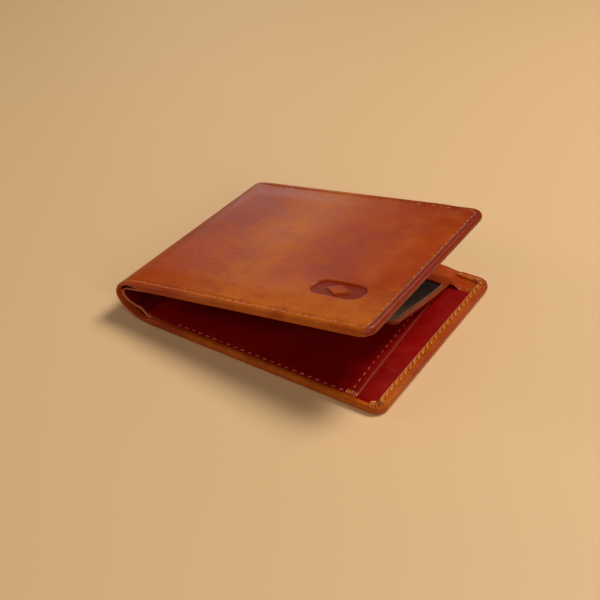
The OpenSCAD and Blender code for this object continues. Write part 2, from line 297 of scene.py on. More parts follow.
def turned_sheet(name, size, sides, radius, step, face_lines, edge, place, relief,
                 fine=(None, None), thick=SHELL_THICK):
    """Leather with turned edges. size is its width and length, sides says which of its four edges
    (low and high across, low and high along) are turned, edge gives each one's hem and rise, place
    puts a point of the sheet, with its depth, where it belongs, and relief says how far a point is
    sunk and how much it is pressed. Distances from the edge are negative on the turned side."""
    face_lines = [v for v in face_lines if v < radius]
    rings = HEM_STEPS + ROLL_STEPS + 1 + len(face_lines)
    across = grid_lines(size[0], sides[0], sides[1], radius, step, rings, fine[0])
    along = grid_lines(size[1], sides[2], sides[3], radius, step, rings, fine[1])
    sheet = bmesh.new()
    bmesh.ops.create_grid(sheet, x_segments=len(across) - 1, y_segments=len(along) - 1, size=1.0)
    from_edge = sheet.verts.layers.float.new("from_edge")
    pressed = sheet.verts.layers.float.new("pressed")
    for vert in sheet.verts:
        kind_a, a = across[round((vert.co.x + 1) / 2 * (len(across) - 1))]
        kind_b, b = along[round((vert.co.y + 1) / 2 * (len(along) - 1))]
        turn = 0.0
        if kind_a != "middle" and kind_b != "middle":
            share_a, share_b = 1 - a / rings, 1 - b / rings
            turn = share_b / share_a / 2 if share_a >= share_b else 1 - share_a / share_b / 2
            ring = min(a, b)
            end_a, end_b = edge(kind_a + "_a", None), edge(kind_b + "_b", None)
            hem, rise = (p + (q - p) * turn for p, q in zip(end_a, end_b))
            inset, depth = edge_ring(ring, hem, rise, face_lines)
            reach = radius - inset
            inset_a = radius - reach * math.cos(turn * math.pi / 2)
            inset_b = radius - reach * math.sin(turn * math.pi / 2)
        elif kind_a != "middle":
            ring, inset_b = a, b
            hem, rise = edge(kind_a + "_a", b)
            inset, depth = edge_ring(a, hem, rise, face_lines)
            inset_a = inset
        elif kind_b != "middle":
            ring, inset_a = b, a
            hem, rise = edge(kind_b + "_b", a)
            inset, depth = edge_ring(b, hem, rise, face_lines)
            inset_b = inset
        else:
            ring, inset_a, inset_b, depth = rings, a, b, 0.0
            inset = min([a if sides[0] else BEYOND, size[0] - a if sides[1] else BEYOND,
                         b if sides[2] else BEYOND, size[1] - b if sides[3] else BEYOND])
        pos_a = size[0] - inset_a if kind_a == "high" else inset_a
        pos_b = size[1] - inset_b if kind_b == "high" else inset_b
        hidden = ring < HEM_STEPS + ROLL_STEPS / 2
        extra, vert[pressed] = relief(pos_a, pos_b, inset, hidden, turn)
        vert[from_edge] = -inset if hidden else inset
        vert.co = place(pos_a, pos_b, depth + extra) * MM
    middle = place(size[0] / 2, size[1] / 2, 0.0)
    outwards = place(size[0] / 2, size[1] / 2, -1.0) - middle
    sheet.normal_update()
    centre = min(sheet.faces, key=lambda f: (f.calc_center_median() / MM - middle).length)
    if centre.normal.dot(outwards) < 0:
        bmesh.ops.reverse_faces(sheet, faces=sheet.faces)
    for face in sheet.faces:
        face.smooth = True
    for line in sheet.edges:
        line.smooth = not line.is_boundary
    data = bpy.data.meshes.new(name)
    sheet.to_mesh(data)
    sheet.free()
    piece = bpy.data.objects.new(name, data)
    bpy.context.scene.collection.objects.link(piece)
    wall = piece.modifiers.new("thickness", "SOLIDIFY")
    wall.thickness, wall.offset, wall.use_rim = thick * MM, -1.0, True
    return piece


# Lines of the mesh round the groove, and the pressed mark's middle, half length, half width and depth
SHELL_LINES = (1.9, 2.2, 2.5, 2.8, 3.1, 3.4, 3.9, 4.6)
MARK_FROM_FREE, MARK_FROM_FRONT = 23.5, 20.3
MARK_HALF, MARK_END, MARK_DEPTH = 10.8, 4.9, 0.55
MARK_ROOM = 0.8          # round the mark, where the mesh is as fine as in it
DIAMOND_SLOPE = 0.6


def groove_at(inset):
    """Depth of the stitching groove at a distance from the edge."""
    return GROOVE * (1 - smooth(abs(inset - SEAM), 0.15, 0.75))


def pleats(turn, inset, strength):
    """Folds of gathered leather that fan round a corner."""
    fan = math.sin(turn * math.pi) ** 0.5 if 0 < turn < 1 else 0.0
    wave = math.sin(turn * 34 + 0.9 * math.sin(turn * 9)) * fan
    return strength * wave * smooth(inset, 0.0, 1.2)


def soft_wave(a, b, size, strength, seed):
    """Slow unevenness of hide, in the sheet's own directions."""
    return strength * noise.noise(Vector((a / size, b / size, seed)))


def mark_at(a, b):
    """How deep the pressed mark is: a bar with round ends and a diamond left standing in it."""
    x, y = abs(a - MARK_FROM_FREE), abs(b - MARK_FROM_FRONT)
    bar = math.hypot(max(x - (MARK_HALF - MARK_END), 0), y) - MARK_END
    diamond = (x * DIAMOND_SLOPE + y - DIAMOND_SLOPE * MARK_END) * 0.86
    inside = max(bar, -diamond)
    return 1 - smooth(inside, -0.22, 0.08)


def half_edge(tall, front_hem, bend_from, bend_to):
    """Hem and rise along the edges of a half. Its front edge gets thin where the spine bends, and
    its back edge where the note compartment opens."""
    def edge(side, at):
        if side == "low_a":
            return HEM_FREE, tall
        if side == "low_b":
            hem, low, thin = front_hem, SPINE_EDGE, smooth(at or 0, bend_from, bend_to)
        else:
            hem, low = HEM_FREE, BACK_EDGE
            thin = smooth(at or 0, SEWN_END - THINNING, SEWN_END + THINNING)
        return hem + (HEM_THIN - hem) * thin, tall + (low - tall) * thin

    return edge


def rear_relief(a, b, inset, hidden, turn):
    """Groove outside; inside, the pleats of the corner and the dent along the stitches."""
    if hidden:
        return pleats(turn, inset, 0.4) - 0.3 * math.exp(-((inset - 3.0) / 0.55) ** 2), 0.0
    return groove_at(inset), 0.0


rear_shell = turned_sheet(
    "rear_shell", (lower_seam, height), (True, False, True, True), CORNER, SHELL_STEP, SHELL_LINES,
    half_edge(EDGE_HEIGHT, HEM_FRONT, flat_rear - 1, flat_rear + 9), on_shell, rear_relief)
spine_shell = turned_sheet(
    "spine_shell", (upper_seam - lower_seam, height), (False, False, True, True), CORNER, SPINE_STEP,
    SHELL_LINES, even_edge(HEM_THIN, SPINE_EDGE),
    lambda a, b, depth: on_shell(lower_seam + a, b, depth), no_relief)


def front_relief(a, b, inset, hidden, turn):
    """Groove, pressed mark, and leather swelling softly over the board; the free edge is dark."""
    dark_edge = 0.9 * (1 - smooth(a, 1.8, 3.2))
    if hidden:
        return pleats(turn, inset, 0.18), dark_edge
    near_spine = smooth(a, flat_front - 4, flat_front + 4)
    mark = mark_at(a, b)
    puff = -0.45 * smooth(inset, 3.2, 14) * (1 - near_spine)
    wave = soft_wave(a, b, 34, 0.30, 3.0) * smooth(inset, 3.2, 12) * (1 - near_spine)
    return groove_at(inset) * (1 - near_spine) + puff + wave + MARK_DEPTH * mark, max(mark, dark_edge)


front_shell = turned_sheet(
    "front_shell", (shell_length - upper_seam, height), (True, False, True, True), CORNER, SHELL_STEP,
    SHELL_LINES, half_edge(FRONT_EDGE_HEIGHT, HEM_FREE, flat_front - 6, flat_front + 3),
    lambda a, b, depth: on_shell(shell_length - a, b, depth), front_relief,
    fine=((MARK_FROM_FREE - MARK_HALF - MARK_ROOM, MARK_FROM_FREE + MARK_HALF + MARK_ROOM, MARK_STEP),
          (MARK_FROM_FRONT - MARK_END - MARK_ROOM, MARK_FROM_FRONT + MARK_END + MARK_ROOM, MARK_STEP)))


def feed(tree, socket, value):
    """Link a value that is a socket; set any other."""
    if isinstance(value, bpy.types.NodeSocket):
        tree.links.new(value, socket)
    else:
        socket.default_value = value


def joined(tree, kind, **values):
    """New shader node with its settings and inputs given by name."""
    node = tree.nodes.new(kind)
    for key, value in values.items():
        if hasattr(node, key):
            setattr(node, key, value)
        else:
            feed(tree, node.inputs[key.replace("_", " ")], value)
    return node


def new_finish(name):
    """New material: itself, its node tree, its shader, and the place on the piece."""
    paint = bpy.data.materials.new(name)
    paint.use_nodes = True
    tree = paint.node_tree
    where = joined(tree, "ShaderNodeTexCoord").outputs["Object"]
    return paint, tree, tree.nodes["Principled BSDF"], where


def colour_mix(tree, share, first, second):
    """Colour between two colours or sockets."""
    node = tree.nodes.new("ShaderNodeMix")
    node.data_type = "RGBA"
    for index, value in ((0, share), (6, first), (7, second)):
        feed(tree, node.inputs[index], value)
    return node.outputs[2]


def ramp(tree, value, low, high):
    """0 to 1 as value goes from low to high."""
    node = joined(tree, "ShaderNodeMapRange", Value=value, From_Min=low, From_Max=high)
    node.interpolation_type = "SMOOTHSTEP"
    return node.outputs["Result"]


def noise_at(tree, where, scale, detail=3.0, rough=0.5, distortion=0.0):
    """Cloudy value from 0 to 1; scale is in clouds to the metre."""
    return joined(tree, "ShaderNodeTexNoise", Vector=where, Scale=scale, Detail=detail,
                  Roughness=rough, Distortion=distortion).outputs["Fac"]


def math_node(tree, operation, first, second=0.0):
    """Result of an operation on two values or sockets."""
    node = joined(tree, "ShaderNodeMath", operation=operation)
    feed(tree, node.inputs[0], first)
    feed(tree, node.inputs[1], second)
    return node.outputs[0]


def tinted(tree, colour, other, value, amount):
    """Colour moved towards another by amount times a value from 0 to 1."""
    return colour_mix(tree, math_node(tree, "MULTIPLY", value, amount), colour, other)


def embossed(tree, surface, height, strength, distance):
    """Fine relief on a shader, from a height."""
    bump = joined(tree, "ShaderNodeBump", Height=height, Strength=strength, Distance=distance)
    tree.links.new(bump.outputs["Normal"], surface.inputs["Normal"])


WAX_GLOSS = 0.24


def waxed_leather(name, deep, main, light, edge_colour, shine=0.36, grain=1.0,
                  burnish_and_highlight_band=(2.0, 0.5), burnish_and_highlight_share=0.2, pulled=0.0):
    """Waxed hide: clouds of three colours, an edge band, fine pores and a soft shine. The edge band is
    burnish on the tan leather, and on the red leathers it is partly burnish and partly a painted highlight.
    Where it has been pulled over the board, by the share pulled, the wax parts and it is lighter."""
    paint, tree, surface, where = new_finish(name)
    edge_distance = joined(tree, "ShaderNodeAttribute", attribute_name="from_edge").outputs["Fac"]
    pressed = joined(tree, "ShaderNodeAttribute", attribute_name="pressed").outputs["Fac"]
    clouds = noise_at(tree, where, 17, 2, 0.45, 0.8)
    mottle = noise_at(tree, where, 120, 4, 0.6)
    colour = tinted(tree, main, deep, ramp(tree, clouds, 0.35, 0.68), 0.75)
    colour = tinted(tree, colour, light, ramp(tree, mottle, 0.38, 0.8), 0.35)
    if pulled:
        # A band beside the spine, the front edge away from the spine, and the turned edges
        x, y, _ = joined(tree, "ShaderNodeSeparateXYZ", Vector=where).outputs
        off_band = math_node(tree, "ABSOLUTE", math_node(tree, "ADD", x, 0.018))
        band = math_node(tree, "MULTIPLY", ramp(tree, off_band, 0.022, 0.0), 0.8)
        front = math_node(tree, "MULTIPLY", ramp(tree, y, -0.014, -0.042), ramp(tree, x, -0.045, -0.012))
        turned = ramp(tree, edge_distance, -0.8, -2.4)
        any_of = math_node(tree, "MAXIMUM", math_node(tree, "MAXIMUM", band, front), turned)
        broken = math_node(tree, "MULTIPLY", any_of, ramp(tree, mottle, 0.1, 0.62))
        colour = tinted(tree, colour, light, broken, pulled)
    fleck = noise_at(tree, where, 700, 3, 0.7)
    colour = tinted(tree, colour, deep, ramp(tree, fleck, 0.52, 0.7), 0.35)
    near = math_node(tree, "ABSOLUTE", edge_distance)
    # Edge band: burnish, and on the red leathers partly a painted highlight along the folded edges
    colour = tinted(tree, colour, edge_colour, ramp(tree, near, *burnish_and_highlight_band), burnish_and_highlight_share)
    colour = tinted(tree, colour, edge_colour, pressed, 0.9)
    tree.links.new(colour, surface.inputs["Base Color"])
    rough = joined(tree, "ShaderNodeMapRange", Value=mottle, From_Min=0.3, From_Max=0.7,
                   To_Min=shine - 0.07, To_Max=shine + 0.1).outputs["Result"]
    tree.links.new(rough, surface.inputs["Roughness"])
    pores = joined(tree, "ShaderNodeTexVoronoi", Vector=where, Scale=1500).outputs["Distance"]
    creases = noise_at(tree, where, 420, 5, 0.65)
    relief = math_node(tree, "ADD", math_node(tree, "MULTIPLY", pores, 0.5), creases)
    embossed(tree, surface, relief, 0.35 * grain, 0.00025)
    surface.inputs["Specular IOR Level"].default_value = WAX_GLOSS
    return paint


tan_leather = waxed_leather(
    "tan_leather", display_colour(136, 33, 0), display_colour(168, 60, 0), display_colour(198, 104, 6),
    display_colour(124, 28, 4), pulled=0.7)

for piece, (first, second, start, end) in zip((rear_shell, spine_shell, front_shell), bends):
    piece.data.materials.append(tan_leather)
    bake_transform(piece, first, second, start=on_shell(start, 0, 0) * MM, end=on_shell(end, 0, 0) * MM)
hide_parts("rear_cover", "rear_turned_edge")
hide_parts("spine_leather_lower", "spine_leather_upper")
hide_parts("front_cover", "front_turned_edge")

# ---------------------------------------------------------------------------------------------
# Boards and linings: thin card inside each half, with cloth glued to it, and cloth on the back of
# the inner panels. They keep their given shapes; only their edges show in the note compartment.

card, tree, surface, where = new_finish("grey_card")
pulp = noise_at(tree, where, 900, 4, 0.7)
tree.links.new(colour_mix(tree, ramp(tree, pulp, 0.4, 0.65), display_colour(150, 128, 98),
                          display_colour(176, 156, 124)), surface.inputs["Base Color"])
embossed(tree, surface, pulp, 0.3, 0.0001)
surface.inputs["Roughness"].default_value = 0.9

cloth, tree, surface, where = new_finish("lining_cloth")
warp, weft = (joined(tree, "ShaderNodeTexWave", wave_type="BANDS", bands_direction=way, Vector=where,
                     Scale=480.0, Distortion=0.6, Detail=1.0).outputs["Fac"] for way in ("X", "Y"))
weave = math_node(tree, "MULTIPLY", warp, weft)
tree.links.new(colour_mix(tree, weave, display_colour(52, 22, 12), display_colour(98, 46, 24)),
               surface.inputs["Base Color"])
embossed(tree, surface, weave, 0.5, 0.0001)
surface.inputs["Roughness"].default_value = 0.85
surface.inputs["Sheen Weight"].default_value = 0.2

for node, finish in (("rear_board", card), ("front_board", card), ("rear_lining", cloth),
                     ("front_lining", cloth), ("rear_panel_backing", cloth), ("front_panel_backing", cloth)):
    for place_for in bpy.data.objects[node].material_slots:
        place_for.material = finish

# ---------------------------------------------------------------------------------------------
# Spine lining: one width of red leather that follows the inside of the spine, a little way from
# the outer leather. Its ends lie on the inner panels, and it is in three lengths like the skin.

LINING_THICK = 0.6       # where it is folded double
LINING_WALL = 0.26       # of its single leather
LINING_INSET = 1.7       # from the skin's edges
LINING_FOLD = 1.7        # width of its folded edges
# Distance along the skin from the start of the bend, and depth of the lining's face there
LINING_DEPTH = ((-3, 2.7), (3.5, 2.85), (9.2, 4.2), (12.6, 3.2), (15.4, 2.5), (20, 2.15), (22, 2.15),
                (24.8, 3.15), (30.5, 4.2), (38, 4.1))


def lining_depth(distance):
    """Depth of the lining's face at a distance along the skin."""
    offset = distance - flat_rear
    for (a, low), (b, high) in zip(LINING_DEPTH, LINING_DEPTH[1:]):
        if offset <= b:
            return low + (high - low) * smooth(offset, a, b)
    return LINING_DEPTH[-1][1]


folded_edge = even_edge(LINING_FOLD, LINING_THICK)
# The red leather's lighter edge colour is partly burnish and partly a painted highlight along its folded
# edges and the pocket's mouth
glossy_leather = waxed_leather(
    "cherry_leather", display_colour(104, 3, 3), display_colour(146, 9, 6), display_colour(172, 30, 12),
    display_colour(150, 44, 24), shine=0.3, grain=0.8, burnish_and_highlight_band=(1.2, 0.3), burnish_and_highlight_share=0.9)
# Shaded copy of the red leather: its darker colours are painted shade inside the spine, and its pale pink
# edge is partly a cut edge and partly a painted highlight
lining_leather = waxed_leather(
    "lining_leather", display_colour(64, 3, 3), display_colour(96, 8, 6), display_colour(122, 22, 12),
    display_colour(206, 112, 82), shine=0.4, grain=0.6, burnish_and_highlight_band=(1.1, 0.3), burnish_and_highlight_share=1.0)

rear_lap, front_lap = flat_rear - 2.0, shell_length - flat_front + 4.5
lining_lengths = (("lining_rear", rear_lap, lower_seam, ("spine_lining_lower",)),
                  ("lining_middle", lower_seam, upper_seam, ("spine_lining_upper",)),
                  ("lining_front", upper_seam, front_lap, ()))
for (name, low, high, nodes), (first, second, start, end) in zip(lining_lengths, bends):
    lining = turned_sheet(
        name, (high - low, height - 2 * LINING_INSET),
        (False, False, True, True), 1.9, SPINE_STEP, (), folded_edge,
        lambda a, b, depth: on_shell(low + a, LINING_INSET + b, lining_depth(low + a) - depth),
        no_relief, thick=LINING_WALL)
    lining.data.materials.append(lining_leather)
    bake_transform(lining, first, second, start=on_shell(start, 0, lining_depth(start)) * MM,
             end=on_shell(end, 0, lining_depth(end)) * MM)
    if nodes:
        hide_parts(*nodes)

# ---------------------------------------------------------------------------------------------
# Rear inner panel: glossy red leather, the floor of the side pocket's mouth and the front wall of
# the note compartment, which gapes a little at its open back edge.

PANEL_TOP = 2.6          # of the rear panel's face above the table
PANEL_SPARE = 0.8        # that the panel is smaller than its place, on each side
PANEL_WALL = 0.3         # thickness of the red leather
PANEL_STEP = 0.9         # between the lines of its mesh
back_edge_y = rear_high.y


def gape(x, y):
    """How far the note compartment's front wall stands off at its open edge."""
    return 0.7 * smooth(y, 18, back_edge_y) * max(0.0, 1 - (x / 40) ** 2)


def on_rear(x, y, z):
    """Point on the rear half's inside, lifted with the note compartment's front wall."""
    return Vector((x, y, z + gape(x, y)))


panel_low, panel_high = (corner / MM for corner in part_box("rear_inner_panel"))


def panel_relief(a, b, inset, hidden, turn):
    """Faint creases along the panel."""
    crease = abs(noise.noise(Vector((a / 9, b / 16, 4.0)))) ** 0.6
    return 0.18 * crease + soft_wave(a, b, 17, 0.10, 8.0), 0.0


rear_panel = turned_sheet(
    "rear_panel", (panel_high.x - panel_low.x - 1.5, panel_high.y - panel_low.y - 2 * PANEL_SPARE),
    (False,) * 4, 1.0, PANEL_STEP, (), folded_edge,
    lambda a, b, depth: on_rear(panel_low.x + a, panel_low.y + PANEL_SPARE + b, PANEL_TOP - depth),
    panel_relief, thick=PANEL_WALL)
rear_panel.data.materials.append(glossy_leather)
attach(rear_panel, "rear_half")
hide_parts("rear_inner_panel")

# ---------------------------------------------------------------------------------------------
# Side pocket: glossy red leather over most of the rear panel, open towards the free edge. Its
# mouth and front edge are folded, and the mouth runs a little off square.

POCKET_TOP = 3.3         # of its face above the table
POCKET_FRONT = 1.8       # from the front edge
POCKET_UNDER = 3.0       # that it runs under the top strip
pocket_low, pocket_high = (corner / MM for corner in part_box("rear_side_pocket"))
pocket_start_x = pocket_low.x - 6.0
pocket_wide = pocket_high.x - pocket_start_x
pocket_long = pocket_high.y + POCKET_UNDER - front_edge_y - POCKET_FRONT


def mouth_x(y):
    """Where the pocket's mouth is, at y from the front edge."""
    return 40.5 - 0.047 * y


def on_pocket(a, b, depth):
    """Point on the side pocket: a from its spine side, b from its front edge."""
    y = POCKET_FRONT + b
    x = pocket_start_x + a / pocket_wide * (mouth_x(y) - pocket_start_x)
    spine_rise = 0.8 * (1 - smooth(x, pocket_start_x, pocket_start_x + 9))
    return on_rear(x, front_edge_y + y, POCKET_TOP + spine_rise - depth)


def pocket_swell(a, b):
    """How the pocket's leather stands off towards its mouth."""
    return -0.35 * math.exp(-((a - pocket_wide + 4) / 5) ** 2) * smooth(b, 3, 12) * (1 - smooth(b, 60, 72))


def pocket_relief(a, b, inset, hidden, turn):
    """Swelling at the mouth, a dent along the front stitches, and slow unevenness."""
    if hidden:
        return 0.0, 0.0
    swell = pocket_swell(a, b)
    sunk = 0.12 * math.exp(-((b - 0.9) / 0.5) ** 2)
    return swell + sunk + soft_wave(a, b, 21, 0.12, 5.0) * smooth(inset, 2, 6), 0.0


side_pocket = turned_sheet(
    "side_pocket", (pocket_wide, pocket_long), (True, True, True, False), 2.1, PANEL_STEP, (),
    even_edge(1.9, 0.7), on_pocket, pocket_relief, thick=PANEL_WALL)
side_pocket.data.materials.append(glossy_leather)
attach(side_pocket, "rear_half")
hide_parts("rear_side_pocket")

# ---------------------------------------------------------------------------------------------
# Top strips: tan leather folded over the open edge of each inner panel. The rear one also covers
# the flap's root; near the sewn corner it is pressed down under the turned edge.

STRIP_TOP = 3.25         # of its face above the table
STRIP_WALL = 0.28
STRIP_STEP = 0.9
ROOT_ROOM = 1.5          # that it stands up over the flap's root
strip_low, strip_high = (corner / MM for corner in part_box("rear_top_strip"))
strip_from, strip_to = strip_low.x + 1.0, rear_high.x - 2.6
strip_deep = strip_high.y - strip_low.y


def flap_room(x):
    """How far the rear strip stands up over the flap's root."""
    return ROOT_ROOM * smooth(x, -52, -49) * (1 - smooth(x, 40.5, 43.0))


def on_strip(a, b, depth):
    """Point on the rear strip: a from its spine end, b from its front edge."""
    x = strip_from + a
    cut = smooth(x, rear_high.x - SEWN_END - 5.5, rear_high.x - SEWN_END + 1.0)
    y = strip_low.y + b
    over = flap_room(x) * (1 - smooth(b, 1.5, 5.5))
    return on_rear(x, y, STRIP_TOP - 0.5 * cut + over - depth)


def strip_edge(back_hem, hem):
    """Edges of a top strip, whose back one is turned over the wall of the note compartment."""
    return lambda side, at: (back_hem, 1.5) if side == "high_b" else (hem, 0.6)


rear_strip = turned_sheet(
    "rear_strip", (strip_to - strip_from, strip_deep), (False, False, True, True), 3.0, STRIP_STEP, (),
    strip_edge(2.8, 1.9), on_strip,
    lambda a, b, inset, hidden, turn: (0 if hidden else groove_at(inset) * 0.5, 0.0), thick=STRIP_WALL)
rear_strip.data.materials.append(tan_leather)
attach(rear_strip, "rear_half")
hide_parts("rear_top_strip")

# ---------------------------------------------------------------------------------------------
# Flap: a leather frame round a clear window, with a leather back, hung from the top strip. Its
# free corner on the open side curls up.

FLAP_WALL = 0.55
CURL_LOW, CURL_HIGH = 5.2, 15.2        # degrees, at the spine side and at the open side
CURL_BEND = 1.12         # 1 for a straight flap, and more for one that bends up along its length
FLAP_LONG = 54.0
FLAP_TUCK = 3.0          # under the top strip
FLAP_LIFT = 1.35         # of its root above the side pocket
FLAP_BORDER = 3.0        # width of the leather round the window
FLAP_IN = 2.4            # its spine side stops short of the lining
FLAP_CORNER = 2.5
PLAIN_STEP = 1.2         # between the lines of a plain sheet's mesh
flap_low, flap_high = (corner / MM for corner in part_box("flap_frame"))
hinge = Vector(joints["flap_hinge"]["pos_m"]) / MM
flap_wide = flap_high.x - flap_low.x


def on_flap(a, b, depth):
    """Point on the flap: a from its spine side, b from its tucked edge, depth from its face."""
    out = b - FLAP_TUCK
    share = max(0.0, out / FLAP_LONG)
    curl = math.radians(CURL_LOW + (CURL_HIGH - CURL_LOW) * (a / flap_wide) ** 1.7)
    lift = math.tan(curl) * FLAP_LONG * share ** CURL_BEND
    slope = math.atan(CURL_BEND * math.tan(curl) * share ** (CURL_BEND - 1)) if share > 0 else 0.0
    y = hinge.y - out * math.cos(curl * min(1.0, share + 0.3))
    z = POCKET_TOP + FLAP_LIFT + gape(flap_low.x + a, hinge.y) + lift
    wave = 0.25 * math.sin(a / 13.0) * share
    x = flap_low.x + FLAP_IN * (1 - a / flap_wide) + a - a / flap_wide * (0.3 + 3.0 * (1 - share))
    return Vector((x, y - depth * math.sin(slope), z + wave - depth * math.cos(slope)))


def flap_sheet(name, inset, depth, wall, paint, nodes, window=False):
    """One leather layer of the flap, with its window cut out if it has one."""
    sheet = turned_sheet(
        name, (flap_wide - 2 * inset, FLAP_LONG + FLAP_TUCK - 2 * inset), (True, True, False, True),
        FLAP_CORNER, SHELL_STEP, (), even_edge(1.7, wall),
        lambda a, b, d: on_flap(a + inset, b + inset, depth + d), no_relief, thick=0.22)
    if window:
        cut = bmesh.new()
        cut.from_mesh(sheet.data)
        layer = cut.verts.layers.float["from_edge"]
        doomed = [v for v in cut.verts if v[layer] > FLAP_BORDER + 0.2 and
                  v.co.y / MM < hinge.y - FLAP_BORDER]
        bmesh.ops.delete(cut, geom=doomed, context="VERTS")
        cut.to_mesh(sheet.data)
        cut.free()
    sheet.data.materials.append(paint)
    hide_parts(*nodes)
    return sheet


clear_sheet, tree, surface, where = new_finish("clear_sheet")
scuffs = noise_at(tree, where, 220, 4, 0.6)
# Its dark brown colour is painted shade: the window lies in the shadow of the cover
surface.inputs["Base Color"].default_value = display_colour(52, 44, 38)
surface.inputs["Alpha"].default_value = 0.5
surface.inputs["Specular IOR Level"].default_value = 0.8
tree.links.new(joined(tree, "ShaderNodeMapRange", Value=scuffs, To_Min=0.10, To_Max=0.25).outputs["Result"],
               surface.inputs["Roughness"])
embossed(tree, surface, noise_at(tree, where, 40, 2, 0.5), 0.08, 0.0004)

flap_frame = flap_sheet("flap_leather", 0.0, 0.0, FLAP_WALL, tan_leather, ("flap_frame",), window=True)
flap_back = flap_sheet("flap_backing", 0.2, 0.85, 0.45, glossy_leather, ("flap_back",))
for layer in (flap_frame, flap_back):
    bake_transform(layer, "rear_half", "flap", start=(0, (hinge.y + 1.5) * MM, hinge.z * MM),
             end=(0, (hinge.y - 2.5) * MM, hinge.z * MM))
flap_window = turned_sheet(
    "flap_clear_sheet", (flap_wide - 4.0, FLAP_LONG - 4.2), (False,) * 4, 1.0, PLAIN_STEP, (), folded_edge,
    lambda a, b, depth: on_flap(a + 2.0, b + FLAP_TUCK + 2.2, 0.58 + depth), no_relief, thick=0.2)
flap_window.data.materials.append(clear_sheet)
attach(flap_window, "flap")
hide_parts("flap_window")

# ---------------------------------------------------------------------------------------------
# Front half's inside: a red panel with three stacked card slots, each with a folded mouth, and a
# tan strip over the panel's back edge.

FRONT_PANEL_DEPTH = 2.6  # of the front panel's face under the skin
SLOT_RISE = 0.5          # from one card slot to the next


def on_front(x, y, depth):
    """Point inside the front half: x from its free edge, y from the front edge, depth inwards."""
    return on_shell(shell_length - x, y, depth)


front_panel = turned_sheet(
    "front_panel", (front_length - 3.5, height - 5.0), (False,) * 4, 1.0, PLAIN_STEP, (), folded_edge,
    lambda a, b, depth: on_front(a + 2.5, b + 2.5, FRONT_PANEL_DEPTH - depth),
    lambda a, b, inset, hidden, turn: (soft_wave(a, b, 17, 0.1, 2.0) + 0.1, 0.0), thick=PANEL_WALL)
front_panel.data.materials.append(glossy_leather)
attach(front_panel, "front_half")
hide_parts("front_inner_panel")


def slot_swell(a, below):
    """How a card slot's leather stands off towards its mouth."""
    return -0.3 * math.exp(-(below / 5) ** 2) * math.sin(math.pi * min(1.0, a / (slot_to - slot_from))) ** 2


slot_mouths = [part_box(f"front_card_slot_{k}")[1].y / MM - front_edge_y for k in (1, 2, 3)]
slot_from, slot_to = HEM_FREE - 0.1, front_length - 7.5
for k, slot_mouth in enumerate(slot_mouths):
    face = FRONT_PANEL_DEPTH + SLOT_RISE * (k + 1)
    deep = slot_mouth - HEM_FREE
    card_slot = turned_sheet(
        f"card_slot_{k + 1}", (slot_to - slot_from, deep), (False, False, True, True), 2.0, 1.1, (),
        even_edge(1.8, 0.48), lambda a, b, depth: on_front(slot_from + a, HEM_FREE + b, face - depth),
        lambda a, b, inset, hidden, turn: (
            0.0 if hidden else slot_swell(a, deep - b) + soft_wave(a, b, 19, 0.06, k * 3.0), 0.0),
        thick=0.2)
    card_slot.data.materials.append(glossy_leather)
    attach(card_slot, "front_half")
    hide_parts(f"front_card_slot_{k + 1}")

FRONT_STRIP_DEEP = 5.0
FRONT_STRIP_TOP = 3.2    # of its face under the skin
front_strip = turned_sheet(
    "front_strip", (front_length - 16.5, FRONT_STRIP_DEEP), (True,) * 4, 2.4, STRIP_STEP, (),
    strip_edge(2.2, 1.6),
    lambda a, b, depth: on_front(a + SEWN_END + 1.0, height - FRONT_STRIP_DEEP + b,
                                   FRONT_STRIP_TOP - depth), no_relief, thick=STRIP_WALL)
front_strip.data.materials.append(tan_leather)
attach(front_strip, "front_half")
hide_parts("front_top_strip")

# ---------------------------------------------------------------------------------------------
# Stitching: waxed thread in short slanted stitches. It is brown in the cover's groove, rose on the
# red leather, and pale on the turned edges, where the rear half's free edge has the thickest.

STITCH_PITCH = 3.2
REACH = 0.3              # how far along a surface its direction is felt


def thread_finish(name, dark, light):
    """Waxed twisted thread."""
    paint, tree, surface, where = new_finish(name)
    twist = joined(tree, "ShaderNodeTexWave", wave_type="BANDS", bands_direction="DIAGONAL", Vector=where,
                   Scale=420.0, Distortion=1.0).outputs["Fac"]
    wear = noise_at(tree, where, 500, 3, 0.6)
    colour = colour_mix(tree, ramp(tree, wear, 0.35, 0.65), dark, light)
    tree.links.new(colour, surface.inputs["Base Color"])
    embossed(tree, surface, twist, 0.4, 0.00008)
    surface.inputs["Roughness"].default_value = 0.5
    return paint


brown_thread = thread_finish("brown_thread", display_colour(118, 56, 16), display_colour(206, 134, 62))
rose_thread = thread_finish("rose_thread", display_colour(190, 52, 44), display_colour(228, 108, 88))
pale_thread = thread_finish("pale_thread", display_colour(172, 82, 20), display_colour(212, 128, 48))


def stepped(points, pitch):
    """Even steps along a run of points: the middle of each stitch and its direction."""
    runs = [(Vector(p), Vector(q)) for p, q in zip(points, points[1:])]
    whole = sum((q - p).length for p, q in runs)
    count = max(1, round(whole / pitch))
    marks = [whole * (n + 0.5) / count for n in range(count)]
    done = 0.0
    for p, q in runs:
        length = (q - p).length
        while marks and marks[0] <= done + length + 1e-9:
            yield p.lerp(q, (marks[0] - done) / length), (q - p).normalized()
            marks.pop(0)
        done += length


def corner_arc(centre, radius, start, stop):
    """Nine points round a corner, between two angles in degrees."""
    angles = [math.radians(start + (stop - start) * n / 8) for n in range(9)]
    return [(centre[0] + radius * math.cos(a), centre[1] + radius * math.sin(a)) for a in angles]


def edge_run(inset, first, last):
    """Run of stitches round a half: front edge from first, free edge, back edge as far as last. It
    is measured from the free edge and the front edge."""
    points = [(first, inset)]
    points += corner_arc((CORNER, CORNER), CORNER - inset, 270, 180)
    points += corner_arc((CORNER, height - CORNER), CORNER - inset, 180, 90)
    return points + [(last, height - inset)]


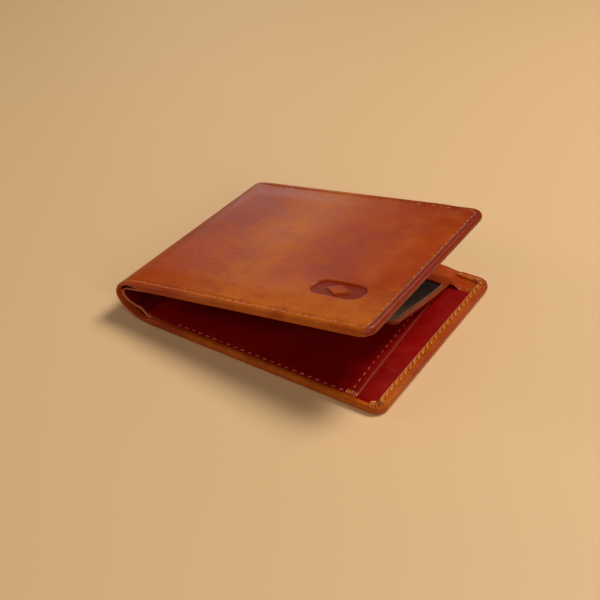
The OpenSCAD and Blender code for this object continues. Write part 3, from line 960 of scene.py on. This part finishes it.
def sew(name, rows, body, node):
    """Rows of stitches as one piece. A row is: surface, run, pitch, size, slant, thread, height
    off the surface and the surface's outward side."""
    sewn = bmesh.new()
    paints = []
    for surface_at, run, pitch, size, slant, paint, proud, side in rows:
        if paint not in paints:
            paints.append(paint)
        for spot, way in stepped(run, pitch):
            here = surface_at(spot.x, spot.y)
            along = (surface_at(spot.x + way.x * REACH, spot.y + way.y * REACH) - here).normalized()
            right = (surface_at(spot.x + REACH, spot.y) - here).normalized()
            ahead = (surface_at(spot.x, spot.y + REACH) - here).normalized()
            up = side * right.cross(ahead).normalized()
            lie = Matrix((along, up.cross(along).normalized(), up)).transposed().to_4x4()
            turn = Matrix.Rotation(math.radians(slant), 4, "Z")
            place = Matrix.Translation((here + up * proud) * MM) @ lie @ turn
            scale = Matrix.Diagonal((size[0] / 2 * MM, size[1] / 2 * MM, size[2] / 2 * MM, 1))
            made = bmesh.ops.create_uvsphere(sewn, u_segments=8, v_segments=6, radius=1.0,
                                             matrix=place @ scale)
            for face in {f for v in made["verts"] for f in v.link_faces}:
                face.material_index = paints.index(paint)
                face.smooth = True
    bmesh.ops.recalc_face_normals(sewn, faces=sewn.faces)
    data = bpy.data.meshes.new(name)
    sewn.to_mesh(data)
    sewn.free()
    piece = bpy.data.objects.new(name, data)
    bpy.context.scene.collection.objects.link(piece)
    for paint in paints:
        data.materials.append(paint)
    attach(piece, body)
    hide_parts(node)


# Length, width and height of a stitch
FINE = (1.7, 0.42, 0.3)
COVER = (1.9, 0.5, 0.36)
ROSE = (1.8, 0.62, 0.42)
THICK = (2.6, 1.1, 0.7)
TACK = (2.6, 0.7, 0.6)
# Pale strands laid on the corner pleats as a painted highlight on their ridges
PLEAT_HIGHLIGHT = (2.6, 0.42, 0.5)
FLAP_STITCH = (1.7, 0.45, 0.3)

cover_run = edge_run(SEAM, flat_front - 3, flat_front - 3)
inside_run = edge_run(SEAM, flat_front - 8, SEWN_END)
sew("front_edge_thread", [
    (lambda u, v: on_front(u, v, GROOVE), cover_run, STITCH_PITCH, COVER, 14, brown_thread, 0.08, -1),
    (lambda u, v: on_front(u, v, FRONT_EDGE_HEIGHT), inside_run, STITCH_PITCH, ROSE, -14, pale_thread,
     0.0, -1),
], "front_half", "front_edge_stitches")

under_run = edge_run(SEAM, flat_rear - 4, SEWN_END)
rear_free_x = rear_high.x


def on_hem(u, v):
    """Point on the rear half's turned edge."""
    return on_shell(u, v, EDGE_HEIGHT)


# The front row lies on the side pocket; round the front corner a fan of pale thread strands on the hem's
# pleats is a painted highlight on their ridges
free_run = edge_run(3.0, CORNER + 1.2, SEWN_END)
front_row_run = [(rear_free_x - mouth_x(3.1) + 1.8, 3.3), (flat_rear - 9, 3.3)]
pleat_highlight_run = corner_arc((CORNER, CORNER), 3.4, 275, 175)
sew("rear_edge_thread", [
    (lambda u, v: on_shell(u, v, GROOVE), under_run, STITCH_PITCH, FINE, 14, brown_thread, 0.06, 1),
    (on_hem, free_run, 3.4, THICK, 24, pale_thread, 0.0, -1),
    (lambda u, v: on_rear(rear_free_x - u, front_edge_y + v, POCKET_TOP), front_row_run, STITCH_PITCH,
     ROSE, 8, rose_thread, 0.0, -1),
    (on_hem, pleat_highlight_run, 0.75, PLEAT_HIGHLIGHT, 90, pale_thread, 0.12, -1),
], "rear_half", "rear_edge_stitches")

mouth_run = [(pocket_wide - 2.9, 3.4), (pocket_wide - 2.9, pocket_long - 5.5)]
sew("pocket_mouth_thread", [
    (lambda u, v: on_pocket(u, v, pocket_swell(u, v)), mouth_run, 3.6, ROSE, 8, rose_thread, 0.1, 1),
], "rear_half", "pocket_mouth_stitches")

tack_places = [pocket_wide - 4.2 + 0.95 * n for n in range(5)]
sew("mouth_bar_tacks", [
    (lambda u, v: on_pocket(u, v, 0.0), [(a, 0.7), (a, 2.9)], 2.2, TACK, 0, pale_thread, 0.1, 1)
    for a in tack_places
], "rear_half", "pocket_bar_tacks")

strip_run = [(4.0, 1.9), (strip_to - strip_from - 2.0, 1.9)]
sew("strip_thread", [
    (lambda u, v: on_strip(u, v, 0.0), strip_run, STITCH_PITCH, FINE, 8, brown_thread, 0.02, 1),
], "rear_half", "rear_strip_stitches")


def on_slots(u, v):
    """Point on the uppermost card slot there."""
    return on_front(u, v, FRONT_PANEL_DEPTH + SLOT_RISE * sum(v < mouth for mouth in slot_mouths))


slot_sides = [[(x, HEM_FREE + 4), (x, slot_mouths[0] - 1.0)] for x in (slot_from + 2.2, slot_to - 2.2)]
sew("slot_thread", [
    (on_slots, run, STITCH_PITCH, ROSE, 8, rose_thread, 0.0, -1) for run in slot_sides
], "front_half", "front_slot_stitches")

# Round the flap's border, 1.8 mm in from its edge
FLAP_BEND = 1.2
flap_near, flap_far = FLAP_TUCK + 3, FLAP_TUCK + FLAP_LONG - FLAP_BORDER
flap_side = FLAP_BORDER - FLAP_BEND
flap_run = [(flap_side, flap_near)]
flap_run += corner_arc((FLAP_BORDER, flap_far), FLAP_BEND, 180, 90)
flap_run += corner_arc((flap_wide - FLAP_BORDER, flap_far), FLAP_BEND, 90, 0)
flap_run += [(flap_wide - flap_side, flap_near)]
sew("flap_thread", [
    (lambda u, v: on_flap(u, v, 0.0), flap_run, 2.8, FLAP_STITCH, 8, brown_thread, 0.0, -1),
], "flap", "flap_stitches")
